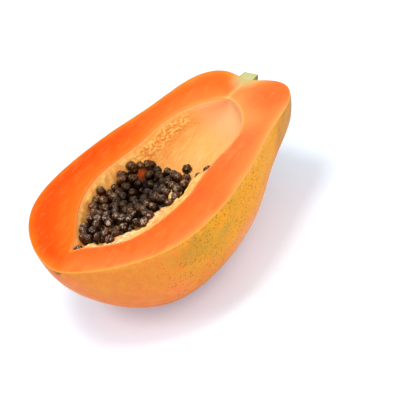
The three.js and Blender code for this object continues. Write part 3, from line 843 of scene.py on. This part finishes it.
# Painted highlight: the side of each seed that faces the lamps is paler.
painted_highlight = coat.step(up + (pits - 0.5) * 0.5, 0.5, 0.98)
coat.glaze(painted_highlight * 0.1, "7c5638")
# Painted shade: the underside of each seed is darker.
coat.glaze(coat.step(up, 0.5, -0.5) * 0.6, "0c0400")
# Pale wrinkle crests: a few all over, and most of them on the painted highlight.
coat.glaze(coat.step(wrinkles, 0.53, 0.63) * (0.03 + painted_highlight * 0.85), crest_highlight_colour)
coat.glaze(coat.step(tint, 0.95, 0.98) * coat.step(wrinkles, 0.3, 0.6) * 0.6, "8a6c34")
# Painted shade: the seeds in the heap's dip are darker, and their coat there is thinner and less glossy.
from_dip = coat.away_from((DISH[0] - 2, DISH[1] * DIP_NARROWER, 0.0), coat.x, coat.y * DIP_NARROWER)
dip_shade = coat.step(from_dip, 28, 14)
coat.glaze(dip_shade * 0.72, "100600")
# Painted shade: the deeper seeds in the gaps between the top ones are darker.
coat.glaze(coat.step(tint, 0, -0.5) * 0.75, "0e0501")
coat.feed("Base Color", coat.colour)
coat.feed("Roughness", 0.22 + wrinkles * 0.2)
coat.feed("Coat Weight", 0.4 - dip_shade * 0.15)
coat.bump(wrinkles + pits * 0.15, 0.4, 0.5)

sizes = {
    "Seed Length": SEED_LENGTH / 1000, "Seed Width": SEED_WIDTH / 1000, "Wrinkle Size": WRINKLE_SIZE / 1000,
    "Wrinkle Depth": WRINKLE_DEPTH / 1000, "Roundness": TOP_ROUNDNESS, "Coat": coat.material,
}
top_mesh = seed_maker.run(seed_points("top_points", top_layer), "seed_heap_top", sizes)
low_mesh = seed_maker.run(
    seed_points("low_points", low_layer), "seed_heap_low", {**sizes, "Roundness": LOW_ROUNDNESS})
add_piece(top_mesh, "seed_heap_top", "seed_heap", "seed")
add_piece(low_mesh, "seed_heap_low", "seed_heap", "seed")

# --- Bed of pulp under the seeds ----------------------------------------------------------------------
# The seeds cling to soft wet pulp. Between them in the dip it is wet and near black, the black a painted
# shade, and it is pale where it frays out in a fringe over the shelf along the near rim.

BED_ALONG, BED_ACROSS = 110, 90
BED_UNDER, BED_MARGIN, BED_BEFORE, BED_BEYOND, BED_FOOT = 3.6, 1.2, 1, 2, 40
FRINGE_ALONG = (28, 36, 90, 100)  # stations where it starts, is full, thins out and ends
FRINGE_TOP, FRINGE_FALL, FRINGE_EDGE, FRINGE_RAGGED = 1.3, 0.2, 3, 9
TUCK_DEPTH, TUCK_REACH, TUFT_DEPTH = 1.6, 2, 1.1
RAGGED_SIZE, TUFT_SIZE, SWELL_SIZE = (2.4, 3.6), (1.7, 2.6), 3
FRINGE_FULL, FRINGE_GONE = 0.5, 4  # inward from the edge of the seeds
CLUMP_GONE, CLUMP_FULL = 1, -2  # beyond the radius of a gap
CLUMP_RISE, CLUMPS_PALE_TO = 0.6, 80
BED_UNEVEN, FRINGE_SMOOTHER = 2.4, 0.7
rows = []
for i in range(BED_ALONG + 1):
    share = i / BED_ALONG
    station = HEAP_FROM + (HEAP_TO - HEAP_FROM) * share
    low, high = heap_band(station)
    frayed = float(band(station, *FRINGE_ALONG))
    end = low - BED_MARGIN + frayed * min(0, hollow_at(station)[1] + FRINGE_EDGE - low + BED_MARGIN)
    row = []
    for j in range(BED_ACROSS + 1):
        y = high + BED_MARGIN + (end - high - BED_MARGIN) * j / BED_ACROSS
        x = HEAP_FROM - BED_BEFORE + (heap_edge(y) + BED_BEYOND - HEAP_FROM + BED_BEFORE) * share
        inward = max(0.0, y - end)
        ragged = FRINGE_RAGGED * (float(cloud(x / RAGGED_SIZE[0], y / RAGGED_SIZE[1], 10)) - 0.35)
        fringe = frayed * float(smoothstep(y, low + FRINGE_GONE + ragged, low + FRINGE_FULL + ragged))
        tucked = TUCK_DEPTH * (1 - float(smoothstep(inward, 0, TUCK_REACH)))
        flat = -FRINGE_TOP - FRINGE_FALL * inward - tucked
        deep = heap_height(x, y) - BED_UNDER
        gaps = [
            smoothstep(math.hypot(x - gap_x, y - gap_y), radius + CLUMP_GONE, radius + CLUMP_FULL)
            for gap_x, gap_y, radius in PULP_GAPS
        ]
        clump = CLUMP_RISE * float(max(gaps))
        pale = max(fringe, clump if x < CLUMPS_PALE_TO else 0)
        row.append((x, y, deep + (flat - deep) * max(fringe, clump), pale))
    rows.append(row)
rows = np.array(rows)
bed_top, fringe = rows[..., :3].copy(), rows[..., 3]
tufts = cloud(bed_top[..., 0] / TUFT_SIZE[0], bed_top[..., 1] / TUFT_SIZE[1], 8)
swell = cloud(bed_top[..., 0] / SWELL_SIZE, bed_top[..., 1] / SWELL_SIZE, 9) - 0.5
bed_top[..., 2] += BED_UNEVEN * swell * (1 - FRINGE_SMOOTHER * fringe) - TUFT_DEPTH * tufts * fringe
bed_foot = bed_top.copy()
bed_foot[..., 2] = -BED_FOOT
edges = ((0, ...), (-1, ...), (slice(None), 0), (slice(None), -1))
skirts = [np.stack([bed_top[edge], bed_foot[edge]]) for edge in edges]
bed = Finish("seed_pulp", {"Specular IOR Level": 0.1})
clots = bed.noise(4, 3)
wet_patch = bed.away_from((*WET_GAP[:2], 0.0), bed.x, bed.y)
# Painted shade: near black between the seeds, except red-brown round the wet gap.
bed.colour = bed.mix(bed.step(wet_patch + clots * 4, 9, 4), "140904", "963c06")
bed.glaze(bed.step(bed.x + clots * 16, 70, 54) * 0.9, "f2ac58")
tuft = bed.noise(1.5, 4, (1, 2, 1), distortion=1.0)
fringed = bed.mix(bed.step(tuft, 0.35, 0.65), "f4a858", "ffe2a8")
bed.glaze(bed.step(bed.attribute("fringe") + (tuft - 0.5) * 0.8, 0.2, 0.6), fringed)
bed.feed("Base Color", bed.colour)
bed.feed("Roughness", 0.35 + clots * 0.3)
bed.bump(bed.noise(1.6, 3), 0.5, 0.8)
bed_mesh = sheets_to_mesh(
    "pulp_bed", [(bed_top, 0, {"fringe": fringe})] + [(sheet, 0, {}) for sheet in (bed_foot, *skirts)])
add_piece(bed_mesh, "pulp_bed", "seed_heap", "flesh", bed.material)

# --- Seeds by themselves ------------------------------------------------------------------------------
# Two seeds are stuck to the far side of the lining near the stalk's end of the heap, and three lie below
# the near rim. Each is pressed a little into the wet lining, which holds it.

LOOSE_SEEDS = [(120, 63), (114.5, 70), (100, 138), (105, 161), (111.5, 165)]  # station, degrees round
LOOSE_RISE = 1.7
LOOSE_TURNS, LOOSE_TINTS = (0.4, 0.7, 1.1), 0.2
for i, (x, degrees) in enumerate(LOOSE_SEEDS):
    far, near, depth = hollow_at(x)
    turn = math.radians(degrees)
    half = (far - near) / 2 - LOOSE_RISE
    ridge = 1 - PLACENTA_RISE * math.cos(LOBES * (turn - math.pi / 2))
    drop = (depth - LOOSE_RISE) * math.sin(turn) * ridge * float(shelf_share(x, half * (1 + math.cos(turn))))
    y = (far + near) / 2 + half * math.cos(turn) * ridge
    row = (x, y, -drop, 1.0, *(step * i for step in LOOSE_TURNS), LOOSE_TINTS * i)
    name = f"loose_seed_{i + 1}_coat"
    mesh = seed_maker.run(seed_points(name, [row]), name, sizes)
    add_piece(mesh, name, f"loose_seed_{i + 1}", "seed")

# --- Table, light and camera --------------------------------------------------------------------------
# A plain pale table under a soft light overhead, a wide one in front of the fruit's near side, and a small
# one from the blossom end that puts the gloss on the wet seeds. The camera looks down on the cut face.

TABLE_HALF = 2.5
# The table glows faintly blue-white: painted light that lifts and cools the shadows on it.
TABLE_FINISH = {
    "Base Color": (0.9, 0.94, 0.98, 1), "Roughness": 0.9, "Specular IOR Level": 0.1,
    "Emission Color": (0.34, 0.68, 0.95, 1), "Emission Strength": 0.25,
}
AIR = {"Color": (0.95, 0.96, 1, 1), "Strength": 0.66}
table_mesh = bpy.data.meshes.new("table_top")
corners = [(TABLE_HALF * i, TABLE_HALF * j, 0) for i, j in ((-1, -1), (1, -1), (1, 1), (-1, 1))]
table_mesh.from_pydata(corners, [], [(0, 1, 2, 3)])
table = new_object("table_top", table_mesh)
white = bpy.data.materials.new("table_white")
white.use_nodes = True
for key, value in TABLE_FINISH.items():
    white.node_tree.nodes["Principled BSDF"].inputs[key].default_value = value
table_mesh.materials.append(white)

SOFT_LIGHTS = [  # place, aimed at, side of the square, watts, colour
    ((-0.12, -0.05, 1.4), (0, 0, 0), 0.42, 7.2, (1, 0.99, 0.97)),
    ((-0.25, -1.3, 0.9), (0, 0, 0.03), 1.4, 8.4, (1, 0.99, 0.98)),
    ((-0.6, 0.1, 1.0), (0, 0, 0.05), 0.3, 1.8, (1, 1, 1)),
]
for place, target, side, watts, colour in SOFT_LIGHTS:
    light = bpy.data.lights.new("soft_light", "AREA")
    light.size, light.energy, light.color = side, watts, colour
    lamp = new_object("soft_light", light)
    lamp.location = place
    lamp.rotation_euler = (Vector(target) - Vector(place)).to_track_quat("-Z", "Y").to_euler()
world = bpy.data.worlds.new("studio_air")
world.use_nodes = True
for key, value in AIR.items():
    world.node_tree.nodes["Background"].inputs[key].default_value = value
bpy.context.scene.world = world

CAMERA_TURNS = (-35.639, 34.104, -23.876)  # azimuth, elevation, roll
CAMERA_DISTANCE, CAMERA_AIM = 1.4174, (0.00581, -0.01762, 0.03996)
CAMERA_LENS, CAMERA_SENSOR, CAMERA_SIGHT = 220.54, 36, 20
azimuth, elevation, roll = (math.radians(turn) for turn in CAMERA_TURNS)
back = Vector((
    math.sin(azimuth) * math.cos(elevation), -math.cos(azimuth) * math.cos(elevation), math.sin(elevation)))
right = Vector((math.cos(azimuth), math.sin(azimuth), 0))
rolled = right * math.cos(roll) + back.cross(right) * math.sin(roll)
camera = bpy.data.cameras.new("camera")
camera.lens, camera.sensor_width, camera.sensor_fit = CAMERA_LENS, CAMERA_SENSOR, "HORIZONTAL"
camera.clip_end = CAMERA_SIGHT
stand = new_object("camera", camera)
turned = Matrix((rolled, back.cross(rolled), back)).transposed().to_4x4()
turned.translation = Vector(CAMERA_AIM) + back * CAMERA_DISTANCE
stand.matrix_world = turned
bpy.context.scene.camera = stand
bpy.context.scene.view_settings.view_transform = "Standard"
